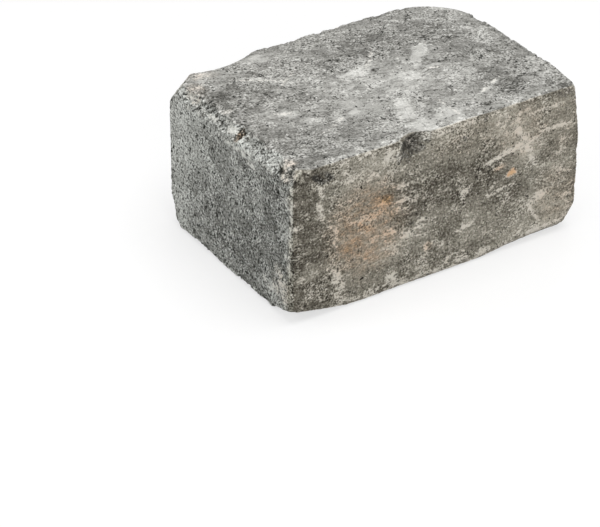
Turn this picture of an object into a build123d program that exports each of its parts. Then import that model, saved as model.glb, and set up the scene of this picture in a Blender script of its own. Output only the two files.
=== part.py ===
"""Garden wall block of tumbled concrete, moulded in one piece and worn in a drum.

The block lies on its bed face, as it is laid in a wall. Its origin is the centre of that
face, +X runs along its length, +Y from its front face to its back, and +Z is up.
"""

from build123d import *
import os

# Size over the worn faces, in millimetres
LENGTH = 300.0
WIDTH = 206.0
HEIGHT = 147.0

# The upright arris at the back right, which the drum wore quite round
ROUND_CORNER_RADIUS = 68.0

# The rounding that tumbling leaves on every edge
WORN_RADIUS = 3.0

# Corners knocked off flat: what is missing along X, Y and Z from the square corner
KNOCKED_CORNERS = {
    ("left", "front", "top"): (13.0, 17.0, 11.0),
    ("right", "front", "top"): (9.0, 56.0, 52.0),
    ("left", "back", "top"): (34.0, 26.0, 30.0),
    ("left", "front", "bottom"): (60.0, 36.0, 13.0),
    ("right", "front", "bottom"): (20.0, 25.0, 27.0),
    ("left", "back", "bottom"): (20.0, 18.0, 32.0),
}

# Arrises rubbed to a bevel: what is missing on the first face and on the second at the
# arris's left, front or bottom end, and the share of that at its other end
RUBBED_ARRISES = {
    ("left", "top"): (12.0, 7.0, 0.65),
    ("left", "back"): (4.5, 4.0, 1.8),
    ("right", "top"): (3.5, 3.0, 1.2),
}

# Shell-shaped spalls on the arrises: the two faces, the place along the arris from its
# middle, the length, the depth, and the share of the depth that the first face takes
SPALLS = [
    (("front", "top"), -28.0, 32.0, 6.0, 1.15),
    (("left", "top"), -66.0, 32.0, 8.2, 0.35),
    (("left", "top"), -40.0, 30.0, 8.0, 0.45),
    (("left", "top"), -15.0, 34.0, 8.8, 0.5),
    (("left", "top"), 8.0, 28.0, 7.0, 0.7),
    (("left", "top"), 31.0, 26.0, 6.6, 0.5),
    (("left", "top"), 55.0, 28.0, 6.6, 0.6),
    (("back", "top"), -102.0, 90.0, 10.5, 0.5),
    (("back", "top"), -97.0, 32.0, 12.5, 0.5),
    (("back", "top"), -30.0, 60.0, 2.8, 0.5),
    (("right", "top"), 47.0, 22.0, 5.5, 0.5),
    (("front", "bottom"), 125.0, 170.0, 7.0, 0.5),
    (("left", "back"), -60.0, 44.0, 10.0, 0.5),
    (("left", "back"), 24.0, 16.0, 4.5, 0.5),
]

CENTRE = Vector(0, 0, HEIGHT / 2)
TO_FACE = {
    "left": Vector(-LENGTH / 2, 0, 0),
    "right": Vector(LENGTH / 2, 0, 0),
    "front": Vector(0, -WIDTH / 2, 0),
    "back": Vector(0, WIDTH / 2, 0),
    "bottom": Vector(0, 0, -HEIGHT / 2),
    "top": Vector(0, 0, HEIGHT / 2),
}
FAR_FACES = ("right", "back", "top")


def outward(face):
    """The direction that a face looks in."""
    return TO_FACE[face].normalized()


def meeting_point(*faces):
    """The square corner where three faces meet, or the middle of two faces' arris."""
    return sum((TO_FACE[face] for face in faces), CENTRE)


def arris_ends(faces):
    """The square corners at the near and far end of the arris between two faces."""
    far_face = next(f for f in FAR_FACES if all(outward(f).dot(outward(g)) == 0 for g in faces))
    middle = meeting_point(*faces)
    return middle - TO_FACE[far_face], middle + TO_FACE[far_face]


def cut_away(block, points, waste):
    """The block without the side of the plane through three points where waste lies."""
    across = (points[1] - points[0]).cross(points[2] - points[0])
    if across.dot(waste - points[0]) < 0:
        across = -across
    return split(block, Plane(points[0], z_dir=across), keep=Keep.BOTTOM)


def knock_off(block, faces, missing):
    """The block with one corner knocked off."""
    corner = meeting_point(*faces)
    points = [corner - outward(face) * size for face, size in zip(faces, missing)]
    return cut_away(block, points, corner)


def rub_down(block, faces, on_first, on_second, far_share):
    """The block with one arris rubbed to a bevel that narrows towards its far end."""
    near, far = arris_ends(faces)
    first, second = (outward(face) for face in faces)
    points = [near - second * on_first, near - first * on_second, far - second * on_first * far_share]
    return cut_away(block, points, near)


def spall(faces, place, length, depth, share):
    """The ball whose surface is the hollow that a flake leaves on an arris."""
    near, far = arris_ends(faces)
    first, second = (outward(face) for face in faces)
    lean = (first * share + second * (1 - share)).normalized()
    radius = (length**2 / 4 + depth**2) / (2 * depth)
    middle = meeting_point(*faces) + (far - near).normalized() * place
    return Pos(middle + lean * (radius - depth)) * Sphere(radius)


def wall_block():
    """The moulded block with its knocked corners, rubbed arrises, worn edges and spalls."""
    block = Box(LENGTH, WIDTH, HEIGHT, align=(Align.CENTER, Align.CENTER, Align.MIN))
    upright = block.edges().filter_by(Axis.Z).sort_by(Axis.Y)[-2:].sort_by(Axis.X)
    block = fillet(upright[-1], ROUND_CORNER_RADIUS)
    for faces, missing in KNOCKED_CORNERS.items():
        block = knock_off(block, faces, missing)
    for faces, bevel in RUBBED_ARRISES.items():
        block = rub_down(block, faces, *bevel)
    block = fillet(block.edges(), WORN_RADIUS)
    return block - [spall(*flake) for flake in SPALLS]


os.makedirs("parts", exist_ok=True)
export_step(wall_block(), "parts/wall_block.step")
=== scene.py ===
# Garden wall block of tumbled concrete: worn surface, stains, painted shade in its hollows and painted
# highlight on its arrises, studio floor, lamps and camera
import math

import bmesh
import bpy
import numpy as np
from mathutils import Matrix, Vector, noise


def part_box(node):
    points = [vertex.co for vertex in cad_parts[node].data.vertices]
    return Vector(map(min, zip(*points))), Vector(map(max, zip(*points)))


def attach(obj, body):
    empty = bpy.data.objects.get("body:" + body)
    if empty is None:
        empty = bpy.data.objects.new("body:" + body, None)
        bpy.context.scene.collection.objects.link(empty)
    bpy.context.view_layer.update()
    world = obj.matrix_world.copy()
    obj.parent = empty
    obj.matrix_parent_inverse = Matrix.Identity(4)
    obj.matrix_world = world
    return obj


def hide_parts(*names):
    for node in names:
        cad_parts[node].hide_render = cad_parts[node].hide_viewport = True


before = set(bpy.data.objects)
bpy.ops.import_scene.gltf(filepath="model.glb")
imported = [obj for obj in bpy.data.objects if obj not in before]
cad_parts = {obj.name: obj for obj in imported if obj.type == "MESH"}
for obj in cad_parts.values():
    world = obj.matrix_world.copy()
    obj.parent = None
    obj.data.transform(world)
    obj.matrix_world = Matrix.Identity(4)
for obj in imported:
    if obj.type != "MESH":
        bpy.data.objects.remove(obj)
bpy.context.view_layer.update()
mm = 0.001
noise.seed_set(12)  # the same crumbs and ragged outlines every time


def linear(colour):  # "#rrggbb" in sRGB to linear RGBA
    channels = [int(colour[i:i + 2], 16) / 255 for i in (1, 3, 5)]
    return [c / 12.92 if c <= 0.04045 else ((c + 0.055) / 1.055) ** 2.4 for c in channels] + [1.0]


def addNode(tree, kind, settings={}, links={}):
    node = tree.nodes.new(kind)
    for name, value in settings.items():
        if name == "stops":  # a colour ramp's places and colours
            while len(node.color_ramp.elements) < len(value):
                node.color_ramp.elements.new(0.5)
            for stop, (place, colour) in zip(node.color_ramp.elements, value):
                stop.position = place
                stop.color = linear(colour)
        elif isinstance(name, int) or name in node.inputs:
            node.inputs[name].default_value = value
        else:
            setattr(node, name, value)
    for name, source in links.items():
        tree.links.new(source, node.inputs[name])
    return node


# The block's shape: the solid's own form, roughened as the drum leaves it. Sizes in mm
blockShape = {
    "spacing": 1.25,  # between the vertices while the surface is worked
    "triangles": 190000,  # kept of it
    "wave": (60.0, 0.5),  # length and depth of the mould's gentle unevenness
    "wear": (22.0, 1.0),  # the same for the uneven wear along the arrises
    "wearReach": 8.0,  # how far in from an arris the wear goes
    "crumb": (6.0, 2.8),  # size and depth of the crumbs lost along the arrises
    "crumbRun": 30.0,  # length of the crumbly stretches
    "seam": 1.6,  # depth of the gaps between crumbs that are still there
    "grit": (3.6, 0.6),  # size and depth of the open grain
    "pit": (8.0, 1.2),  # spacing and depth of the open pores
    "poreSize": (0.1, 0.16),  # smallest pore, and what the largest has more, as shares of the spacing
    "crumbStray": 0.3,  # share of a crumb's size by which its outline strays
    "poreStray": 0.4,  # share of that for the pores
    "wander": ((15.0, 4.5), (4.5, 2.0)),  # size and reach of the bends in the outlines of marks
    "dentWander": 0.5,  # share of that for the holes and dents
}

# Where crumbs are lost: how ragged an arris is, up to 1, and how far in that goes
crumbliness = {
    ("left", "top"): (1.0, 17.0),
    ("front", "left"): (0.4, 7.0),
    ("front", "top"): (0.6, 7.0),
    ("back", "top"): (0.45, 10.0),
    ("right", "top"): (0.5, 12.0),
    ("front", "bottom"): (0.15, 6.0),
    ("left", "bottom"): (0.6, 12.0),
    ("back", "left"): (0.6, 12.0),
    ("front", "right"): (0.4, 8.0),
    ("back", "right"): (0.4, 12.0),
    ("back", "bottom"): (0.5, 12.0),
    ("right", "bottom"): (0.5, 12.0),
}

# Holes and dents: face, place on it, half-length, half-width, turn in degrees, depth
dents = [
    ("top", 57, -89, 4.0, 1.5, 5, 3.0),
    ("top", 8, 13, 1.7, 1.3, 0, 1.8),
    ("top", -21, -63, 2.2, 1.3, 0, 1.2),
    ("top", 82, 40, 2.6, 1.2, 10, 1.2),
    ("top", 91, -75, 15, 11, 10, 0.7),
    ("front", -120, 135, 9, 4, -20, 1.6),
    ("front", -30, 134, 12, 9, 20, 1.2),
    ("left", -81, 120, 1.6, 3, 10, 3.0),
    ("left", -81, 140, 2.4, 2.6, 0, 2.0),
    ("left", -12, 140, 3, 5, 0, 1.4),
    ("left", 25, 112, 1.4, 1.8, 0, 1.5),
    ("left", 30, 87, 1.6, 1.3, 0, 1.6),
    ("left", -13, 76, 1.5, 1.4, 0, 1.6),
    ("left", 37, 57, 1.4, 1.3, 0, 1.5),
    ("left", 36, 47, 1.5, 1.3, 0, 1.5),
    ("left", 36, 128, 1.7, 1.3, 0, 1.6),
    ("left", 12, 52, 1.5, 1.4, 0, 1.5),
    ("left", -42, 84, 1.3, 1.7, 0, 1.5),
]

sides = {  # each face's axis and the way it looks along it
    "left": (0, -1), "right": (0, 1), "front": (1, -1), "back": (1, 1), "bottom": (2, -1), "top": (2, 1),
}
opposites = (("left", "right"), ("front", "back"), ("bottom", "top"))


def smooth(edge0, edge1, value):
    t = np.clip((value - edge0) / (edge1 - edge0), 0, 1)
    return t * t * (3 - 2 * t)


def sampled(function, points, size):  # one of Blender's noises at every point, with features of this size
    return np.array([function(Vector(p)) for p in points / size])


def onFace(face):  # how much of each vertex belongs to a face
    axis, sign = sides[face]
    return smooth(0.25, 0.6, normals[:, axis] * sign)


def markField(face, points, mark):  # 1 at a mark's middle, 0.5 on its outline and 0 at twice its size
    u, v, halfLength, halfWidth, turn = mark
    first, second = [axis for axis in range(3) if axis != sides[face][0]]
    du = points[:, first] - u
    dv = points[:, second] - v
    c, s = math.cos(math.radians(turn)), math.sin(math.radians(turn))
    reach = np.hypot((du * c + dv * s) / halfLength, (dv * c - du * s) / halfWidth)
    return np.clip(1 - reach / 2, 0, 1)


def meshedBlock(name):  # an evenly meshed copy of the solid
    shell = bmesh.new()
    shell.from_mesh(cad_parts["wall_block"].data)
    bmesh.ops.remove_doubles(shell, verts=shell.verts, dist=0.01 * mm)
    mesh = bpy.data.meshes.new(name)
    shell.to_mesh(mesh)
    shell.free()
    block = bpy.data.objects.new(name, mesh)
    bpy.context.collection.objects.link(block)
    voxels = block.modifiers.new("voxels", "REMESH")
    voxels.mode = "VOXEL"
    voxels.voxel_size = blockShape["spacing"] * mm
    with bpy.context.temp_override(object=block, active_object=block):
        bpy.ops.object.modifier_apply(modifier=voxels.name)
    return block


def thinOut(block):  # fewer triangles where the surface is plain
    thin = block.modifiers.new("thin", "DECIMATE")
    thin.ratio = blockShape["triangles"] / sum(len(face.vertices) - 2 for face in block.data.polygons)
    with bpy.context.temp_override(object=block, active_object=block):
        bpy.ops.object.modifier_apply(modifier=thin.name)


def readVertices(mesh):  # places in mm and normals
    places = np.empty(len(mesh.vertices) * 3)
    mesh.vertices.foreach_get("co", places)
    normals = np.empty(len(mesh.vertices) * 3)
    mesh.vertices.foreach_get("normal", normals)
    return places.reshape(-1, 3) / mm, normals.reshape(-1, 3)


low, high = (np.array(corner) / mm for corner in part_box("wall_block"))
block = meshedBlock("worn_block")
places, normals = readVertices(block.data)
print("block meshed:", len(places), "vertices")

toFace = {}  # how far each vertex lies inside each face
for side, (axis, sign) in sides.items():
    toFace[side] = (high if sign > 0 else -low)[axis] - sign * places[:, axis]
nearest = np.sort([np.minimum(toFace[near], toFace[far]) for near, far in opposites], axis=0)
fromArris = nearest[1]  # every vertex is on a face, so the second nearest face gives its arris

ragged = np.zeros(len(places))
for (first, second), (amount, reach) in crumbliness.items():
    near = smooth(reach, reach * 0.2, np.maximum(toFace[first], toFace[second]))
    ragged = np.maximum(ragged, amount * near)

waveSize, waveDepth = blockShape["wave"]
wearSize, wearDepth = blockShape["wear"]
crumbSize, crumbDepth = blockShape["crumb"]
gritSize, gritDepth = blockShape["grit"]
pitSize, pitDepth = blockShape["pit"]

wave = sampled(noise.noise, places, waveSize)
wear = sampled(noise.noise, places, wearSize)
run = sampled(noise.noise, places, blockShape["crumbRun"])
grit = sampled(lambda p: noise.fractal(p, 0.8, 2.0, 3), places, gritSize)
jitter = sampled(noise.noise_vector, places, crumbSize) * blockShape["crumbStray"]
crumbs = [noise.voronoi(Vector(p)) for p in places / crumbSize + jitter]
pores = [noise.voronoi(Vector(p)) for p in places / pitSize + jitter * blockShape["poreStray"]]
crumbDraw, poreDraw = 7.3, 5.1  # each crumb and pore draws its own number at its centre times this
smallest, larger = blockShape["poreSize"]
chance = np.array([0.5 + 0.5 * noise.cell(centres[0] * crumbDraw) for distances, centres in crumbs])
between = np.array([distances[1] - distances[0] for distances, centres in crumbs])
poreDraws = [noise.cell(centres[0] * poreDraw) for distances, centres in pores]
poreSize = smallest + larger * np.abs(poreDraws)
inPore = np.array([distances[0] for distances, centres in pores]) / poreSize

likely = ragged * np.clip(0.75 + 0.9 * run, 0.2, 1.2)  # how likely a crumb is to be gone
gone = smooth(-0.1, 0.1, chance - 1 + 0.75 * likely)
seams = np.clip(likely, 0, 1) * smooth(0.3, 0.05, between) * (1 - gone)
longFaces = np.maximum(onFace("front"), onFace("back"))
openPores = smooth(1.0, 0.5, inPore) * (1 - 0.75 * longFaces)  # the long faces are closer
depth = waveDepth * (0.5 + 0.5 * wave)
depth += wearDepth * (0.5 + 0.5 * wear) * smooth(blockShape["wearReach"], 0, fromArris)
depth += crumbDepth * gone * ragged + blockShape["seam"] * seams
depth += gritDepth * np.clip(0.5 + 0.5 * grit, 0, 1)
depth += pitDepth * openPores

warp = np.zeros_like(places)
for size, reach in blockShape["wander"]:
    warp += sampled(noise.noise_vector, places, size) * reach
# depth of the dents, which later also sets painted shade in them
hollow = np.zeros(len(places))
for face, *mark, dentDepth in dents:
    field = markField(face, places + warp * blockShape["dentWander"], mark) * onFace(face)
    hollow = np.maximum(hollow, dentDepth * smooth(0.3, 0.8, field))
depth += hollow

worn = places - normals * depth[:, None]
worn[:, 2] = np.maximum(worn[:, 2], 0.0)  # never below the bed
block.data.vertices.foreach_set("co", (worn * mm).ravel())
block.data.update()
block.data.shade_smooth()
print("block worn: deepest", round(float(depth.max()), 2), "mm")

# Marks on each face: place, half-length, half-width, turn in degrees, strength
limeBloom = {  # whitish salts
    "top": [
        (-9, 15, 17, 8, 25, 0.85), (7, 22, 8, 4, 30, 0.7), (29, -14, 10, 10, 0, 1.0),
        (57, 14, 20, 4.5, 45, 1.1), (65, 25, 6, 5, 45, 0.8), (-5, -53, 6, 10, -25, 0.85),
        (-14, -70, 8, 8, 30, 0.8), (-11, -90, 12, 8, 0, 0.9), (13, -88, 17, 7, 15, 0.8),
        (-97, -14, 9, 6, -40, 0.85), (-47, -40, 6, 5, 0, 0.7), (-89, -32, 8, 6, 0, 0.6),
        (-67, -48, 10, 3, 30, 0.65), (30, 44, 9, 3, 55, 0.6), (69, -34, 15, 8, 10, 0.5),
        (59, -8, 14, 2.5, -15, 0.6), (129, 6, 10, 7, 20, 0.5), (124, -70, 12, 8, 0, 0.5),
        (111, -50, 8, 6, 40, 0.5), (-81, 26, 4, 6, 0, 0.6), (-111, 20, 8, 2.5, 15, 0.55),
        (-76, 48, 24, 2.5, -32, 0.55), (-29, 74, 4, 9, -20, 0.5), (72, -67, 18, 2, 22, 0.65),
        (-31, -6, 14, 4, 40, 0.5), (19, -22, 30, 18, 10, 0.45), (-63, 84, 18, 8, 5, 0.5),
        (127, 84, 14, 6, -40, 0.5), (-126, 82, 12, 8, 20, 0.5), (-141, -72, 6, 14, 0, 0.5),
    ],
    "left": [
        (-30, 134, 14, 6, 0, 0.4), (48, 136, 9, 5, 0, 0.4), (-94, 114, 7, 6, 0, 0.5),
        (-82, 34, 9, 14, -20, 0.35), (-70, 18, 9, 6, -20, 0.4), (-47, 20, 10, 4, 0, 0.5),
        (73, 115, 8, 8, 0, 0.5), (-52, 103, 8, 5, 0, 0.45), (-10, 15, 10, 5, 0, 0.45),
        (38, 15, 10, 4, 0, 0.4),
    ],
    "right": [(-40, 118, 16, 7, 10, 0.6), (25, 62, 12, 9, -20, 0.5), (-62, 40, 9, 12, 0, 0.5)],
    "back": [(-80, 110, 20, 7, 5, 0.6), (30, 60, 16, 9, -15, 0.5), (-30, 84, 12, 5, 20, 0.5)],
    "bottom": [(-60, 30, 20, 12, 20, 0.6), (70, -40, 16, 10, -10, 0.6), (10, 10, 12, 6, 40, 0.5)],
}

creamSlurry = {  # dried cement milk
    "front": [
        (-122, 104, 4, 9, 10, 1.1), (-120, 122, 3, 8, 0, 0.8), (-114, 88, 3, 6, 30, 0.9),
        (-107, 71, 2, 12, 4, 1.3), (-109, 45, 5, 6, 0, 0.9), (-103, 24, 6, 20, 14, 1.05),
        (-143, 94, 4, 2.4, 10, 2.0), (-93, 103, 9, 3, -15, 1.1), (-90, 127, 14, 6, -5, 0.75),
        (-51, 135, 9, 8, 0, 0.9), (-71, 120, 14, 4, 10, 0.75), (-62, 91, 7, 1.6, 10, 0.9),
        (-84, 84, 12, 4, 0, 0.8), (-56, 108, 8, 2, -10, 0.8), (-38, 98, 6, 8, 10, 1.0),
        (-36, 87, 20, 1.7, -10, 1.1), (-28, 83, 15, 1.8, 3, 1.1), (-38, 79, 8, 3, 0, 0.8),
        (-40, 57, 18, 4, -29, 1.0), (-16, 58, 9, 5, 5, 1.1), (-61, 60, 14, 4, 10, 0.7),
        (25, 71, 4, 7, 10, 1.2), (32, 78, 3, 3, 0, 0.8), (53, 69, 12, 2, 40, 0.9), (66, 65, 22, 1.6, 3, 1.0),
        (74, 101, 24, 2.6, 10, 1.9), (90, 102, 22, 2.4, -62, 1.8), (87, 102, 4.5, 3, 10, 1.4),
        (81, 126, 2, 10, 0, 1.0), (71, 127, 13, 9, -30, 0.8), (59, 137, 1.8, 10, 0, 0.8),
        (110, 131, 18, 1.4, 1, 1.2), (121, 111, 20, 1.4, -1, 1.1), (107, 74, 5, 7, 0, 0.8),
        (129, 84, 6, 5, 0, 0.8), (75, 79, 4, 3, 0, 2.6), (104, 44, 10, 5, 20, 1.2),
        (103, 28, 8, 1.3, -52, 1.6), (27, 40, 12, 1.8, 13, 1.4), (36, 45, 6, 2, 45, 0.8),
        (74, 56, 9, 3, 35, 0.8), (-13, 31, 3, 9, 0, 0.8), (-18, 17, 5, 9, 0, 1.0), (-48, 17, 7, 8, 0, 1.0),
        (19, 12, 11, 5, 0, 0.8), (94, 14, 15, 7, 0, 0.9), (114, 11, 20, 4, 6, 1.2), (59, 25, 14, 3, 5, 0.7),
        (139, 30, 5, 16, 0, 0.8), (4, 141, 40, 3, 0, 0.8), (-81, 142, 30, 2.5, 0, 0.8),
        (-61, 6, 30, 4, 0, 1.0), (39, 6, 60, 4, 0, 1.1), (-136, 40, 10, 5, -30, 0.7),
        (60, 88, 8, 3, 10, 0.8), (132, 60, 8, 10, 0, 0.7),
    ],
    "top": [
        (-141, 64, 8, 9, 0, 0.7), (-124, 86, 12, 7, -35, 0.7), (-142, -84, 6, 8, 0, 0.9),
        (-138, 18, 7, 3, 0, 0.9), (-83, 48, 25, 1.4, -34, 1.1), (-64, 39, 25, 1.3, 37, 0.9),
        (18, 33, 20, 1.8, 45, 1.2), (74, -65, 18, 1.2, 25, 1.4), (57, -12, 17, 1.2, -22, 0.9),
        (-76, -51, 17, 1.5, 26, 1.0), (25, -73, 1.2, 22, 0, 0.8), (-100, -11, 8, 2.5, -35, 0.85),
        (-94, -14, 5, 2, 50, 0.8),
    ],
    "left": [
        (-10, 130, 18, 2.2, 0, 1.2), (-34, 127, 14, 2.4, 18, 1.2), (-34, 132, 9, 4, 0, 0.8),
        (46, 137, 7, 4, 0, 0.9), (-2, 143, 12, 2.5, 0, 1.0), (-62, 134, 11, 2.5, 10, 1.0),
        (-90, 141, 8, 5, 0, 1.1), (-94, 116, 5, 7, 0, 1.0), (24, 140, 10, 2, 0, 0.9),
        (66, 133, 6, 3, 0, 0.8), (-87, 32, 7, 15, -20, 1.2), (-72, 21, 11, 5, -15, 1.0),
        (-60, 26, 7, 3, 0, 0.8), (-95, 58, 4, 8, 0, 0.9), (-96, 84, 3, 6, 0, 0.9),
        (-100, 121, 1.4, 20, 0, 1.5), (-100, 90, 1.2, 12, 0, 1.2),
    ],
    "back": [
        (-100, 90, 10, 4, 10, 1.0), (-50, 50, 14, 3, -12, 1.1), (10, 100, 16, 3, 8, 1.1),
        (60, 40, 10, 5, 0, 1.0), (-20, 20, 20, 4, 0, 1.0), (-110, 40, 6, 10, 0, 0.9),
        (40, 120, 12, 5, 0, 0.9),
    ],
}

ironTint = {  # warm pink to orange-brown
    "front": [
        (-76, 72, 34, 38, 0, 0.42), (-60, 93, 14, 8, -10, 0.55), (-55, 94, 6, 5, 0, 0.75),
        (-66, 91, 6, 3, 0, 0.6), (-88, 60, 8, 7, 10, 0.6), (-82, 74, 10, 6, 0, 0.5),
        (75, 79, 3.6, 2.8, 0, 1.0), (61, 87, 7, 3, 10, 0.35), (86, 118, 26, 26, 0, 0.2),
        (128, 40, 24, 26, 0, 0.22), (-11, 33, 5, 4, 0, 0.3), (30, 128, 40, 16, 0, 0.15),
        (128, 110, 22, 30, 0, 0.15),
    ],
    "top": [(-141, 64, 9, 10, 0, 0.22), (-142, -84, 8, 8, 0, 0.25), (-124, 86, 14, 9, -35, 0.2)],
    "left": [(-90, 141, 9, 6, 0, 0.25), (-12, 140, 3, 5, 0, 0.6), (-84, 32, 12, 16, -20, 0.2)],
}

# dark stains, with painted shade in the holes and dents that lie at many of them
darkSpotsAndHoleShade = {
    "top": [
        (82, 40, 4.5, 2, 10, 0.8), (57, -89, 6, 2.4, 5, 1.0), (127, -88, 7, 5, 0, 0.6),
        (-21, -63, 3, 1.8, 0, 0.8), (8, 13, 2.2, 1.8, 0, 0.9), (103, -2, 5, 2, 40, 0.6),
        (106, 26, 3, 2, 0, 0.6), (131, -100, 8, 6, 0, 0.6), (101, -43, 2, 2, 0, 0.7),
        (112, -64, 6, 1.6, 5, 0.7), (125, 9, 3, 2, 0, 0.7),
    ],
    "front": [
        (-120, 135, 10, 4.5, -20, 0.75), (-29, 136, 15, 8, 26, 1.0), (-17, 143, 6, 3, 20, 0.6),
        (23, 128, 2.5, 2.5, 0, 0.7), (46, 141, 2.5, 2.5, 0, 0.7), (-29, 61, 2.5, 1.8, 0, 0.8),
        (-89, 45, 3.5, 1.8, 0, 0.7), (129, 140, 10, 5, 0, 0.5),
    ],
    "left": [
        (-81, 120, 2.6, 4.5, 10, 1.0), (-81, 140, 2.6, 2.8, 0, 0.9), (-12, 140, 3.5, 5.5, 10, 0.7),
        (25, 112, 2.2, 2.8, 0, 0.8), (30, 87, 2.4, 2, 0, 0.9), (-13, 76, 2.2, 2.2, 0, 0.9),
        (37, 57, 2.2, 2, 0, 0.8), (36, 47, 2.4, 2, 0, 0.8), (36, 128, 2.6, 2, 0, 0.8),
        (60, 117, 3, 1.6, 20, 0.7), (12, 52, 2.4, 2.4, 0, 0.7), (-42, 84, 2, 3, 0, 0.7),
        (-74, 113, 4, 2.4, 0, 0.7), (-68, 70, 2.4, 2.4, 0, 0.6), (58, 12, 3, 2.4, 0, 0.7),
    ],
}

broadTonesAndShade = {  # wide patches, partly the concrete's own uneven tone and partly painted light and shade (the top paler in the middle and along the front and darker at the back, the left end paler towards the back and darker low down towards the front), where strength is the change of tone: below 0 darker, above 0 paler
    "top": [
        (9, -12, 62, 40, 20, 0.07), (-1, -74, 42, 22, 10, 0.06), (-119, 30, 34, 30, 0, -0.11),
        (-119, -60, 30, 34, 0, -0.03), (-132, 62, 14, 14, 0, 0.08), (-112, -2, 12, 12, 0, 0.09),
        (-136, -42, 12, 12, 0, 0.07), (40, 52, 70, 24, -5, -0.1), (-90, 58, 9, 9, 0, -0.05),
        (30, 20, 9, 9, 0, -0.05), (50, -22, 8, 8, 0, -0.05), (-10, -100, 9, 4, 0, -0.09),
        (30, -100, 9, 4, 0, -0.05), (74, 66, 10, 14, 0, 0.04), (109, 3, 26, 30, 0, -0.03),
        (91, -75, 13, 12, 0, -0.1), (-45, 15, 20, 16, 0, 0.09), (-38, -42, 22, 14, 0, 0.09),
        (52, -72, 16, 16, 0, 0.08), (68, -22, 18, 14, 0, 0.06), (128, 16, 14, 14, 0, 0.07),
        (90, 40, 20, 16, 0, -0.03), (-12, 66, 14, 14, 0, 0.06), (72, 40, 14, 10, 0, 0.06),
        (0, -4, 16, 10, 0, 0.06), (-46, -22, 14, 10, 0, 0.08), (70, 12, 10, 16, 0, 0.07),
        (0, -100, 140, 5, 0, 0.1), (88, -100, 12, 5, 0, 0.1), (-134, 0, 9, 80, 0, -0.06),
        (-110, 42, 9, 9, 0, -0.05), (-112, -50, 10, 14, 0, -0.05), (30, 70, 12, 14, 0, -0.06),
        (50, -4, 12, 18, 0, -0.1), (-70, 10, 10, 12, 0, -0.06), (-70, -20, 9, 8, 0, 0.07),
        (131, -62, 9, 10, 0, 0.06), (90, -42, 9, 9, 0, -0.05), (-132, -100, 12, 5, 0, 0.06),
        (-50, -100, 10, 5, 0, 0.05), (88, -100, 12, 4, 0, 0.05), (120, -100, 16, 5, 0, 0.04),
        (-70, -100, 14, 5, 0, 0.06), (-72, 84, 14, 12, 0, 0.07), (-112, 82, 12, 12, 0, 0.06),
    ],
    "front": [
        (-139, 118, 15, 30, 0, -0.09), (-132, 74, 20, 24, 0, -0.09), (-125, 26, 22, 20, 10, -0.07),
        (-108, 120, 10, 24, 0, -0.04), (-130, 48, 9, 9, 0, 0.12), (-108, 70, 8, 10, 0, -0.08),
        (92, 90, 10, 8, 0, 0.11), (70, 110, 9, 8, 0, 0.04), (-50, 102, 10, 14, 0, -0.06),
        (-20, 32, 14, 8, 0, -0.03), (30, 70, 12, 8, 0, -0.03), (110, 131, 10, 8, 0, -0.06),
        (30, 90, 12, 8, 0, 0.05), (30, 40, 10, 14, 0, 0.06), (126, 30, 14, 10, 0, 0.06),
        (-68, 132, 14, 8, 0, 0.03), (110, 50, 9, 7, 0, 0.06), (-10, 110, 9, 8, 0, -0.05),
        (50, 110, 9, 8, 0, -0.05), (-81, 126, 42, 18, -2, 0.13), (-79, 78, 34, 32, 0, 0.09),
        (4, 88, 50, 20, 0, -0.12), (-29, 74, 20, 12, 10, -0.06), (50, 100, 16, 22, 0, -0.09),
        (30, 70, 16, 10, 0, -0.06), (74, 122, 26, 24, -20, 0.13), (90, 94, 16, 16, 0, 0.1),
        (132, 118, 24, 24, 0, 0.06), (134, 66, 20, 18, 0, 0.05), (111, 20, 38, 18, 0, 0.1),
        (104, 48, 22, 12, 0, 0.13), (108, 70, 24, 8, 0, 0.1), (10, 46, 14, 14, 0, -0.08),
        (69, 58, 22, 8, 10, -0.06), (-16, 46, 40, 12, 5, 0.06), (-60, 46, 24, 18, 0, 0.08),
        (35, 36, 32, 14, 10, 0.05), (-10, 132, 18, 12, 0, 0.07), (-68, 28, 32, 16, 0, 0.02),
        (-92, 12, 34, 7, 0, -0.06), (70, 14, 9, 7, 0, 0.08), (112, 14, 12, 7, 0, 0.07),
        (50, 14, 9, 7, 0, 0.05),
    ],
    "left": [
        (70, 112, 28, 36, 0, 0.13), (78, 60, 20, 50, 0, 0.09), (78, 28, 12, 12, 0, 0.06),
        (38, 92, 16, 14, 0, 0.08), (-32, 50, 60, 40, 0, -0.06), (18, 40, 46, 30, 0, -0.06),
        (-44, 56, 16, 20, 0, -0.08), (-78, 112, 18, 26, 0, -0.11), (-70, 80, 20, 20, 0, -0.05),
        (-78, 50, 14, 14, 0, -0.06), (18, 70, 10, 12, 0, -0.06), (-30, 134, 20, 8, 0, 0.08),
        (-40, 110, 14, 12, 0, -0.05), (0, 50, 10, 12, 0, 0.1), (-20, 133, 26, 7, 0, 0.1),
        (26, 133, 14, 8, 0, 0.1), (0, 70, 12, 10, 0, 0.05), (-20, 72, 12, 10, 0, 0.05),
        (-20, 108, 12, 14, 0, -0.06), (-80, 118, 12, 14, 0, -0.05), (72, 90, 16, 10, 0, -0.06),
        (60, 70, 9, 9, 0, 0.05), (60, 132, 8, 8, 0, -0.05), (82, 13, 10, 9, 0, 0.17),
        (60, 12, 9, 8, 0, 0.06), (-20, 12, 9, 8, 0, -0.06), (-60, 13, 10, 8, 0, -0.1),
        (80, 28, 9, 9, 0, 0.05),
    ],
    "right": [(0, 74, 110, 80, 0, -0.08), (-40, 110, 34, 26, 0, 0.06), (30, 40, 34, 28, 0, -0.05)],
    "back": [(-70, 90, 50, 36, 0, 0.08), (50, 60, 60, 40, 0, -0.07), (-20, 30, 40, 20, 0, 0.06)],
    "bottom": [(-60, 20, 60, 50, 0, 0.06), (70, -20, 50, 50, 0, -0.05)],
}

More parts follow.
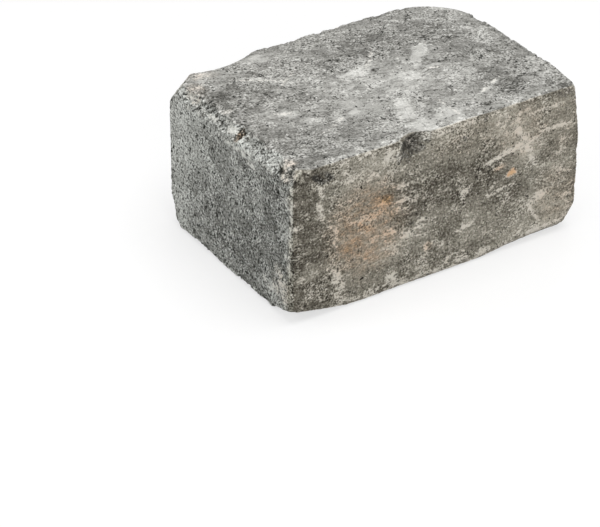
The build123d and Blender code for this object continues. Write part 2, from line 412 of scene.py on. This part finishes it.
skinShape = {  # the brown skin, in mm
    "pastArris": 4,  # how far it turns the front left arris at the top
    "pastArrisBelow": 8,  # how much further at the bottom
    "heights": (90, 10),  # between which that grows
    "softness": 4,
    "overLip": 9,  # how far it goes over the lip at the front left corner
    "lipRun": (-122, -146),  # along the block, where the lip starts and where it is full
    "onBack": 0.45,  # share of its strength there
    "coverHeights": (105, 85),  # below which it hides the rubbed front left arris
    "coverReach": (16, 8),  # and how near that arris
}

skinEdge = skinShape["pastArris"] + skinShape["pastArrisBelow"] * smooth(*skinShape["heights"], places[:, 2])
skinStart, skinEnd = skinEdge + skinShape["softness"], skinEdge - skinShape["softness"]
pastArris = smooth(skinStart, skinEnd, toFace["front"] + warp[:, 0]) * onFace("left")
lipEdge = skinShape["overLip"] * smooth(*skinShape["lipRun"], places[:, 0]) - 1
overLip = smooth(lipEdge + 1, lipEdge - 2, toFace["front"] + 0.4 * warp[:, 1])
overLip *= smooth(-2, 2, toFace["left"] - 0.6 * toFace["front"])
brownSkin = smooth(0.45, 0.75, -normals[:, 1])
for part in (pastArris, overLip, skinShape["onBack"] * onFace("back")):
    brownSkin = np.maximum(brownSkin, part)
beds = np.maximum(onFace("top"), onFace("bottom"))
ends = np.maximum(onFace("left"), onFace("right"))


def strongest(marks):
    field = np.zeros(len(places))
    for face, spots in marks.items():
        for *mark, strength in spots:
            wobble = 0.2 + 0.1 * min(mark[2], mark[3], 4.5)  # thin marks stay straight
            spot = smooth(0.1, 0.7, markField(face, places + warp * wobble, mark))
            field = np.maximum(field, strength * onFace(face) * spot)
    return field


def summed(marks):
    field = np.zeros(len(places))
    for face, spots in marks.items():
        for *mark, strength in spots:
            field += strength * onFace(face) * smooth(0.3, 0.7, markField(face, places + warp, mark))
    return field


# Arrises are rubbed pale, wear together with a painted highlight on the arrises and the crumbs' tops, but not
# the round one, dark spots or the lower front left one, under the skin
darkAndHoleShadeField = strongest(darkSpotsAndHoleShade)
roundArris = smooth(0.1, 0.4, np.minimum(normals[:, 0], normals[:, 1]))
underSkin = smooth(*skinShape["coverHeights"], places[:, 2])
underSkin *= smooth(*skinShape["coverReach"], np.maximum(toFace["front"], toFace["left"]))
wornEdge = smooth(0.985, 0.86, np.abs(normals).max(axis=1)) * (1 - roundArris)
wornEdge += 1.3 * ragged * (1 - gone) * (1 - seams)
wornEdge *= 1 - 0.8 * underSkin
wornEdge *= 1 - np.minimum(darkAndHoleShadeField, 1)

layers = {
    "bloom": strongest(limeBloom),
    "slurry": np.maximum(strongest(creamSlurry), (0.4 + 0.14 * wear) * longFaces),  # and a film on them
    "iron": strongest(ironTint),
    "dark": darkAndHoleShadeField,
    "broad": summed(broadTonesAndShade),
    "skin": brownSkin,
    "bed": beds,
    "end": ends,
    "wornEdge": wornEdge,
    # painted shade: dents, open pores, gaps between crumbs and the places of lost crumbs are darkened in
    # colour
    "hollow": np.clip(hollow / 3 + (0.8 + 0.6 * ends) * openPores + seams + 0.35 * gone, 0, 1),
}
for name, field in layers.items():
    block.data.attributes.new(name, "FLOAT", "POINT").data.foreach_set("value", field.astype(np.float32))
thinOut(block)
print("marks painted:", len(block.data.polygons), "faces")

concreteLook = {
    "patterns": {  # size along the block and across it in mm, detail, roughness, distortion, turn in degrees
        "cloud": (75.0, 75.0, 4, 0.6, 0.0, 0),
        "patch": (22.0, 22.0, 8, 0.65, 0.4, 0),
        "mottle": (12.0, 12.0, 5, 0.65, 0.0, 0),
        "deposit": (12.0, 7.0, 7, 0.7, 0.2, 0),
        "thread": (10.0, 5.0, 5, 0.65, 0.3, 0),
        "pore": (2.8, 2.8, 2, 0.5, 0.5, 0),
        "grain": (1.7, 1.7, 1, 0.5, 0.0, 0),  # sand, as coarse as it needs to be to show
        "flake": (4.2, 2.1, 3, 0.65, 0.3, -20),
        "drag": (14.0, 3.0, 4, 0.7, 0.0, -20),
        "streak": (60.0, 7.0, 5, 0.7, 0.0, 0),
    },
    "apart": (0.31, 0.17, 0.05),  # metres from one pattern to the next, then the shift of them all
    "ragged": (8.0, -5.6),  # swing and middle of the break-up of deposits
    "threadWidth": 0.03,
    "depositsAndPaintedLight": {  # painted layer, shares of break-up and threads, where it starts and where it is full
        "bloom": ("bloom", 0.6, 0.0, 0.2, 1.0),
        "slurry": ("slurry", 1.0, 1.05, 0.74, 0.86),
        "crest": ("slurry", 1.0, 1.05, 0.95, 1.7),
        "iron": ("iron", 0.4, 0.0, 0.0, 1.3),
        "dark": ("dark", 0.6, 0.0, 0.36, 0.6),
        "wornEdge": ("wornEdge", 1.0, 0.5, 0.5, 0.8),
    },
    "crust": (0.46, 0.55),  # where it starts and where it is full
    "flake": (0.61, 0.65),  # the same for flakes and pores
    "pore": (0.355, 0.34),
    "sandy": (0.5, 1.3),  # strength of the sand grains off the crust and on it
    "tone": 0.49,
    "middleTone": 0.52,  # about which contrast is stretched
    "greys": [(0.0, "#33332f"), (0.25, "#676661"), (0.5, "#a1a09b"), (0.75, "#cac9c4"), (1.0, "#ecebe6")],
    "browns": [(0.0, "#312d28"), (0.25, "#605b51"), (0.5, "#959185"), (0.75, "#c1bbae"), (1.0, "#e5e0d6")],
    "rusts": [(0.0, "#ffffff"), (0.45, "#ffe4cf"), (1.0, "#ffd9ae")],
    "bloomColour": "#d8d7d2",
    "slurryColour": "#d5cdc1",
    "endTint": "#fcffff",
    "relief": (0.9, 1.0),  # strength, and height in mm
    "roughness": 0.92,
}


# Dry-cast concrete, tumbled: a smooth skin worn through to open sandy crust, pale bloom, brown cement milk
def concrete():
    material = bpy.data.materials.new("dry_cast_concrete")
    material.use_nodes = True
    tree = material.node_tree
    tree.nodes.clear()
    place = addNode(tree, "ShaderNodeTexCoord").outputs["Object"]
    painted = {}
    for name in layers:
        painted[name] = addNode(tree, "ShaderNodeAttribute", {"attribute_name": name}).outputs["Fac"]
    patterns = {}
    step, aside, above = concreteLook["apart"]
    for name, (along, across, detail, roughness, distortion, turn) in concreteLook["patterns"].items():
        spread = addNode(tree, "ShaderNodeMapping", {
            "vector_type": "TEXTURE", "Location": (step * len(patterns), aside, above),
            "Rotation": (0, 0, math.radians(turn)), "Scale": (along * mm, across * mm, across * mm),
        }, {"Vector": place})
        patterns[name] = addNode(tree, "ShaderNodeTexNoise", {
            "Scale": 1.0, "Detail": detail, "Roughness": roughness, "Distortion": distortion,
        }, {"Vector": spread.outputs["Vector"]}).outputs["Fac"]

    # Deposits, dark spots with painted shade in their holes, and pale arrises with a painted highlight: each
    # one's painted field is broken up by ragged patterns, then cut off
    swing, middle = concreteLook["ragged"]
    breakUp = addNode(tree, "ShaderNodeMath", {"operation": "MULTIPLY_ADD", 1: swing, 2: middle},
                      {0: patterns["deposit"]}).outputs[0]
    for source, swing in ((patterns["flake"], 2.2), (patterns["grain"], 1.0)):
        breakUp = addNode(tree, "ShaderNodeMath", {"operation": "MULTIPLY_ADD", 1: swing},
                          {0: source, 2: breakUp}).outputs[0]
    offLine = addNode(tree, "ShaderNodeMath", {"operation": "SUBTRACT", 1: 0.5}, {0: patterns["thread"]})
    offLine = addNode(tree, "ShaderNodeMath", {"operation": "ABSOLUTE"}, {0: offLine.outputs[0]})
    thread = addNode(tree, "ShaderNodeMapRange", {
        "From Max": concreteLook["threadWidth"], "To Min": 1.0, "To Max": 0.0}, {"Value": offLine.outputs[0]})
    depositsAndPaintedLight = {}
    for name, (layer, amount, threads, start, end) in concreteLook["depositsAndPaintedLight"].items():
        broken = addNode(tree, "ShaderNodeMath", {
            "operation": "MULTIPLY_ADD", 1: amount, 2: 1 - 0.2 * threads}, {0: breakUp})
        broken = addNode(tree, "ShaderNodeMath", {"operation": "MULTIPLY_ADD", 1: threads},
                         {0: thread.outputs["Result"], 2: broken.outputs[0]})
        field = addNode(tree, "ShaderNodeMath", {"operation": "MULTIPLY"},
                        {0: broken.outputs[0], 1: painted[layer]})
        depositsAndPaintedLight[name] = addNode(tree, "ShaderNodeMapRange", {
            "From Min": start, "From Max": end, "interpolation_type": "SMOOTHSTEP",
        }, {"Value": field.outputs[0]}).outputs["Result"]
    bare = addNode(tree, "ShaderNodeMath", {"operation": "MULTIPLY_ADD", 1: -0.5, 2: 1.0},
                   {0: depositsAndPaintedLight["dark"]})
    skin = addNode(tree, "ShaderNodeMath", {"operation": "MULTIPLY"},
                   {0: painted["skin"], 1: bare.outputs[0]}).outputs[0]

    # Crust shows in patches where the smooth surface is gone, less on the brown face
    wornThrough = addNode(tree, "ShaderNodeMath", {"operation": "MULTIPLY_ADD", 1: -0.05},
                          {0: painted["skin"], 2: patterns["patch"]})
    start, end = concreteLook["crust"]
    crust = addNode(tree, "ShaderNodeMapRange", {
        "From Min": start, "From Max": end, "interpolation_type": "SMOOTHSTEP",
    }, {"Value": wornThrough.outputs[0]}).outputs["Result"]

    # Pale flakes, and pores darkened as painted shade, are a pattern's extremes, and crowd on the crust and
    # the ends
    crowding = {
        "flake": ((crust, 0.035), (painted["end"], 0.045), (depositsAndPaintedLight["bloom"], -0.05)),
        "pore": (
            (crust, -0.015), (painted["end"], -0.045), (depositsAndPaintedLight["bloom"], 0.03), (painted["skin"], 0.03)),
    }
    spots = {}
    for name, pushes in crowding.items():
        value = patterns[name]
        for source, push in pushes:
            value = addNode(tree, "ShaderNodeMath", {"operation": "MULTIPLY_ADD", 1: push},
                            {0: source, 2: value}).outputs[0]
        start, end = concreteLook[name]
        spots[name] = addNode(tree, "ShaderNodeMapRange", {
            "From Min": start, "From Max": end, "interpolation_type": "SMOOTHSTEP",
        }, {"Value": value}).outputs["Result"]

    # Tone from 0 dark to 1 pale: patterns swing it about the middle, marks push it one way
    offCrust, onCrust = concreteLook["sandy"]
    sandy = addNode(tree, "ShaderNodeMapRange", {"To Min": offCrust, "To Max": onCrust},
                    {"Value": crust}).outputs["Result"]
    for source, push in (
            (painted["end"], 0.62), (painted["skin"], 0.2), (depositsAndPaintedLight["slurry"], 0.5),
            (depositsAndPaintedLight["wornEdge"], -0.1), (depositsAndPaintedLight["bloom"], -0.25)):
        sandy = addNode(tree, "ShaderNodeMath", {"operation": "MULTIPLY_ADD", 1: push},
                        {0: source, 2: sandy}).outputs[0]
    evenSkin = addNode(tree, "ShaderNodeMath", {"operation": "MULTIPLY_ADD", 1: -0.5, 2: 1.0},
                       {0: painted["skin"]}).outputs[0]
    tone = addNode(tree, "ShaderNodeMath", {"operation": "ADD", 1: concreteLook["tone"]},
                   {0: painted["broad"]}).outputs[0]
    for layer, push in (("bed", -0.03), ("skin", -0.03)):
        tone = addNode(tree, "ShaderNodeMath", {"operation": "MULTIPLY_ADD", 1: push},
                       {0: painted[layer], 2: tone}).outputs[0]
    for source, swing, share in (
            (patterns["cloud"], 0.3, None), (patterns["mottle"], 0.5, evenSkin), (crust, 0.11, evenSkin),
            (patterns["grain"], 1.0, sandy), (patterns["streak"], 0.4, painted["skin"]),
            (patterns["drag"], 0.6, painted["bed"])):
        centred = addNode(tree, "ShaderNodeMath", {"operation": "SUBTRACT", 1: 0.5}, {0: source}).outputs[0]
        if share:
            centred = addNode(tree, "ShaderNodeMath", {"operation": "MULTIPLY"},
                              {0: centred, 1: share}).outputs[0]
        tone = addNode(tree, "ShaderNodeMath", {"operation": "MULTIPLY_ADD", 1: swing},
                       {0: centred, 2: tone}).outputs[0]
    # among these changes, pores and hollows get painted shade, dark spots a stain with painted shade in their
    # holes, and rubbed arrises wear with a painted highlight
    for source, change in (
            (spots["flake"], 0.33), (spots["pore"], -0.55), (depositsAndPaintedLight["dark"], -0.2),
            (painted["hollow"], -0.34), (depositsAndPaintedLight["bloom"], 0.2), (depositsAndPaintedLight["slurry"], 0.23),
            (depositsAndPaintedLight["crest"], 0.42), (depositsAndPaintedLight["wornEdge"], 0.22), (depositsAndPaintedLight["iron"], 0.05)):
        tone = addNode(tree, "ShaderNodeMath", {"operation": "MULTIPLY_ADD", 1: change},
                       {0: source, 2: tone}).outputs[0]
    for layer, stretch in (("skin", 0.25), ("end", 0.12)):  # the upright faces have more contrast
        fromMiddle = addNode(tree, "ShaderNodeMath", {
            "operation": "SUBTRACT", 1: concreteLook["middleTone"]}, {0: tone})
        extra = addNode(tree, "ShaderNodeMath", {"operation": "MULTIPLY"},
                        {0: fromMiddle.outputs[0], 1: painted[layer]})
        tone = addNode(tree, "ShaderNodeMath", {"operation": "MULTIPLY_ADD", 1: stretch},
                       {0: extra.outputs[0], 2: tone}).outputs[0]

    # Colour from the tone: grey, brown under the skin, then tinted by what lies on it
    grey = addNode(tree, "ShaderNodeValToRGB", {"stops": concreteLook["greys"]}, {"Fac": tone})
    brown = addNode(tree, "ShaderNodeValToRGB", {"stops": concreteLook["browns"]}, {"Fac": tone})
    colour = addNode(tree, "ShaderNodeMix", {"data_type": "RGBA"},
                     {0: skin, 6: grey.outputs["Color"], 7: brown.outputs["Color"]}).outputs[2]
    for source, cover, blend, tint in (
            (depositsAndPaintedLight["bloom"], 0.35, "MIX", "bloomColour"),
            (depositsAndPaintedLight["slurry"], 0.25, "MIX", "slurryColour"),
            (painted["end"], 1.0, "MULTIPLY", "endTint")):
        share = addNode(tree, "ShaderNodeMath", {"operation": "MULTIPLY", 1: cover}, {0: source})
        colour = addNode(tree, "ShaderNodeMix", {
            "data_type": "RGBA", "blend_type": blend, 7: linear(concreteLook[tint]),
        }, {0: share.outputs[0], 6: colour}).outputs[2]
    rust = addNode(tree, "ShaderNodeValToRGB", {"stops": concreteLook["rusts"]}, {"Fac": depositsAndPaintedLight["iron"]})
    colour = addNode(tree, "ShaderNodeMix", {"data_type": "RGBA", "blend_type": "MULTIPLY", 0: 1.0},
                     {6: colour, 7: rust.outputs["Color"]}).outputs[2]

    # Relief finer than the mesh: grains and flakes stand up, pores sink
    height = patterns["grain"]
    for source, rise in ((spots["flake"], 0.4), (spots["pore"], -0.9)):
        height = addNode(tree, "ShaderNodeMath", {"operation": "MULTIPLY_ADD", 1: rise},
                         {0: source, 2: height}).outputs[0]
    strength, rise = concreteLook["relief"]
    bump = addNode(tree, "ShaderNodeBump", {"Strength": strength, "Distance": rise * mm}, {"Height": height})
    surface = addNode(tree, "ShaderNodeBsdfPrincipled", {
        "Roughness": concreteLook["roughness"], "IOR": 1.5, "Specular IOR Level": 0.25,
    }, {"Base Color": colour, "Normal": bump.outputs["Normal"]})
    addNode(tree, "ShaderNodeOutputMaterial", {}, {"Surface": surface.outputs["BSDF"]})
    return material


block.data.materials.clear()
block.data.materials.append(concrete())
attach(block, "root")
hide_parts("wall_block")
print("concrete made")

studio = {
    "floorSize": 8.0,  # metres
    "floorColour": "#c4c4c2",
    "floorWhite": 0.62,  # share of plain white that the camera sees in the floor
    "sky": 0.42,
    "lampAim": (0, 0, 0.07),  # metres, about the block's middle
    "lamps": {  # place and size in metres, power in watts
        "overhead": {"place": (0.2, -0.3, 1.8), "size": 1.6, "power": 19.0},
        "frontFill": {"place": (-0.5, -2.0, 1.0), "size": 1.4, "power": 12.0},
        "leftFill": {"place": (-1.4, 0.5, 0.8), "size": 0.9, "power": 6.0},
        "backFill": {"place": (1.4, 1.6, 1.0), "size": 1.4, "power": 6.0},
    },
}


# Painted studio floor: white to the camera, light grey in the light that it throws back
def floorPaint():
    material = bpy.data.materials.new("studio_floor_paint")
    material.use_nodes = True
    tree = material.node_tree
    tree.nodes.clear()
    path = addNode(tree, "ShaderNodeLightPath").outputs
    seen = path["Is Camera Ray"]
    for ray in ("Is Glossy Ray", "Is Transmission Ray"):
        seen = addNode(tree, "ShaderNodeMath", {"operation": "MAXIMUM"}, {0: seen, 1: path[ray]}).outputs[0]
    tint = addNode(tree, "ShaderNodeMix", {
        "data_type": "RGBA", 6: linear(studio["floorColour"]), 7: linear("#ffffff")}, {0: seen})
    share = addNode(tree, "ShaderNodeMath", {"operation": "MULTIPLY", 1: studio["floorWhite"]}, {0: seen})
    paint = addNode(tree, "ShaderNodeBsdfDiffuse", {}, {"Color": tint.outputs[2]})
    white = addNode(tree, "ShaderNodeEmission", {"Color": linear("#ffffff"), "Strength": 1.0})
    mixed = addNode(tree, "ShaderNodeMixShader", {},
                    {0: share.outputs[0], 1: paint.outputs[0], 2: white.outputs[0]})
    addNode(tree, "ShaderNodeOutputMaterial", {}, {"Surface": mixed.outputs[0]})
    return material


def addFloor():
    grid = bmesh.new()
    bmesh.ops.create_grid(grid, x_segments=1, y_segments=1, size=studio["floorSize"] / 2)
    mesh = bpy.data.meshes.new("studio_floor")
    grid.to_mesh(mesh)
    grid.free()
    mesh.materials.append(floorPaint())
    floor = bpy.data.objects.new("studio_floor", mesh)
    bpy.context.collection.objects.link(floor)


def addLamp(name, settings):
    lamp = bpy.data.lights.new(name, "AREA")
    lamp.shape = "DISK"
    lamp.size = settings["size"]
    lamp.energy = settings["power"]
    panel = bpy.data.objects.new(name, lamp)
    panel.location = settings["place"]
    panel.rotation_euler = (Vector(studio["lampAim"]) - panel.location).to_track_quat("-Z", "Y").to_euler()
    bpy.context.collection.objects.link(panel)


def addWorld():
    world = bpy.data.worlds.new("studio_sky")
    world.use_nodes = True
    background = world.node_tree.nodes["Background"]
    background.inputs["Color"].default_value = linear("#ffffff")
    background.inputs["Strength"].default_value = studio["sky"]
    bpy.context.scene.world = world


addFloor()
addWorld()
for name, settings in studio["lamps"].items():
    addLamp(name, settings)

view = {
    "lens": 148.4,  # mm
    "sensor": 36.0,
    "azimuth": -32.8,  # degrees
    "elevation": 32.3,
    "aside": 63.7,  # mm from the picture's middle to the block's origin
    "above": 36.3,
    "distance": 2216.0,
}


def addCamera():
    azimuth, elevation = math.radians(view["azimuth"]), math.radians(view["elevation"])
    right = Vector((math.cos(azimuth), math.sin(azimuth), 0))
    level = math.cos(elevation)
    back = Vector((math.sin(azimuth) * level, -math.cos(azimuth) * level, math.sin(elevation)))
    up = back.cross(right)
    eye = (back * view["distance"] - right * view["aside"] - up * view["above"]) * mm
    lens = bpy.data.cameras.new("camera")
    lens.lens = view["lens"]
    lens.sensor_width = view["sensor"]
    camera = bpy.data.objects.new("camera", lens)
    camera.matrix_world = Matrix.Translation(eye) @ Matrix((right, up, back)).transposed().to_4x4()
    bpy.context.collection.objects.link(camera)
    bpy.context.scene.camera = camera


addCamera()
bpy.context.scene.view_settings.view_transform = "Standard"
print("studio ready")
